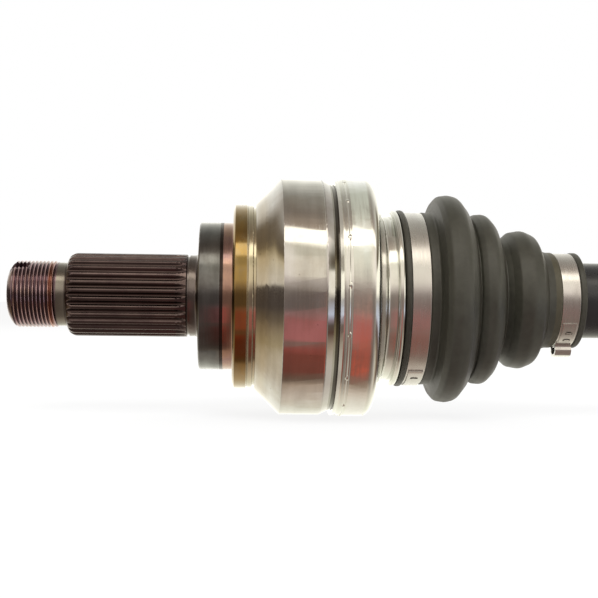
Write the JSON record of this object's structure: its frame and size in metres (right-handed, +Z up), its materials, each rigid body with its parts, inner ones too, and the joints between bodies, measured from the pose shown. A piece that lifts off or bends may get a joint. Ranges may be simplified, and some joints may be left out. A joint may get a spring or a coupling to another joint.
{
  "type": "half shaft",
  "caption": "Car half shaft: solid bar between a fixed and a plunging constant-velocity ball joint, each sealed by a clamped rubber boot, with splined stubs for hub and gearbox.",
  "frame": {"origin": "centre of the shoulder face that the wheel hub seats against, on the shaft's axis", "axes": "+X along the shaft from the wheel end to the gearbox end, +Z up"},
  "size_m": [0.6465, 0.097, 0.097],
  "materials": {
    "bar_paint": "semi-gloss black paint",
    "machined_steel": "turned and ground steel",
    "plated_ring": "yellow passivated steel",
    "cap_plating": "satin zinc plate",
    "black_seal": "smooth rubber",
    "boot_rubber": "satin black thermoplastic rubber",
    "clamp_band": "satin stainless band",
    "hardened_steel": "ground hardened steel",
    "ball_steel": "polished bearing steel",
    "shield_plating": "zinc-plated pressing"
  },
  "bodies": {
    "bar": {"bar": "bar_paint", "outer_race": "hardened_steel", "outer_race_circlip": "hardened_steel", "outer_boot": "boot_rubber", "outer_small_clamp": "clamp_band", "inner_race": "hardened_steel", "inner_race_circlip": "hardened_steel", "inner_small_clamp": "clamp_band"},
    "outer_top_ball": {"outer_ball_1": "ball_steel"},
    "outer_cage_set": {"outer_cage": "hardened_steel", "outer_ball_2": "ball_steel", "outer_ball_3": "ball_steel", "outer_ball_5": "ball_steel", "outer_ball_6": "ball_steel"},
    "outer_bottom_ball": {"outer_ball_4": "ball_steel"},
    "wheel_end": {"outer_housing": "machined_steel", "hub_ring": "plated_ring", "outer_boot_cap": "cap_plating", "outer_cap_seal": "black_seal", "outer_large_clamp": "clamp_band"},
    "inner_top_ball": {"inner_ball_1": "ball_steel"},
    "inner_cage_set": {"inner_cage": "hardened_steel", "inner_ball_2": "ball_steel", "inner_ball_3": "ball_steel", "inner_ball_5": "ball_steel", "inner_ball_6": "ball_steel"},
    "inner_bottom_ball": {"inner_ball_4": "ball_steel"},
    "gearbox_boot": {"inner_boot": "boot_rubber"},
    "gearbox_end": {"inner_housing": "machined_steel", "inner_keeper_ring": "hardened_steel", "inner_oil_shield": "shield_plating", "inner_stub_ring": "hardened_steel", "inner_large_clamp": "clamp_band"}
  },
  "joints": [
    {"name": "outer_tilt", "type": "hinge", "parent": "bar", "child": "outer_top_ball", "pos_m": [0.048, 0, 0], "axis": [0, 1, 0], "range_deg": [-7, 7], "deforming": ["outer_boot"]},
    {"name": "outer_swing", "type": "hinge", "parent": "outer_top_ball", "child": "outer_cage_set", "pos_m": [0.048, 0, 0], "axis": [0, 0, 1], "range_deg": [-7, 7], "deforming": ["outer_boot"]},
    {"name": "outer_swing_far_half", "type": "hinge", "parent": "outer_cage_set", "child": "outer_bottom_ball", "pos_m": [0.048, 0, 0], "axis": [0, 0, 1], "range_deg": [-7, 7], "deforming": ["outer_boot"]},
    {"name": "outer_tilt_far_half", "type": "hinge", "parent": "outer_bottom_ball", "child": "wheel_end", "pos_m": [0.048, 0, 0], "axis": [0, 1, 0], "range_deg": [-7, 7], "deforming": ["outer_boot"]},
    {"name": "inner_tilt", "type": "hinge", "parent": "bar", "child": "inner_top_ball", "pos_m": [0.448, 0, 0], "axis": [0, 1, 0], "range_deg": [-7, 7], "deforming": ["inner_boot"]},
    {"name": "inner_swing", "type": "hinge", "parent": "inner_top_ball", "child": "inner_cage_set", "pos_m": [0.448, 0, 0], "axis": [0, 0, 1], "range_deg": [-7, 7], "deforming": ["inner_boot"]},
    {"name": "inner_swing_far_half", "type": "hinge", "parent": "inner_cage_set", "child": "inner_bottom_ball", "pos_m": [0.448, 0, 0], "axis": [0, 0, 1], "range_deg": [-7, 7], "deforming": ["inner_boot"]},
    {"name": "inner_tilt_far_half", "type": "hinge", "parent": "inner_bottom_ball", "child": "gearbox_boot", "pos_m": [0.448, 0, 0], "axis": [0, 1, 0], "range_deg": [-7, 7], "deforming": ["inner_boot"]},
    {"name": "inner_plunge", "type": "slide", "parent": "gearbox_boot", "child": "gearbox_end", "axis": [1, 0, 0], "range_m": [-0.012, 0.012], "deforming": ["inner_boot"]}
  ],
  "couplings": [
    {"joint": "outer_swing_far_half", "follows": "outer_swing", "ratio": 1},
    {"joint": "outer_tilt_far_half", "follows": "outer_tilt", "ratio": 1},
    {"joint": "inner_swing_far_half", "follows": "inner_swing", "ratio": 1},
    {"joint": "inner_tilt_far_half", "follows": "inner_tilt", "ratio": 1}
  ]
}
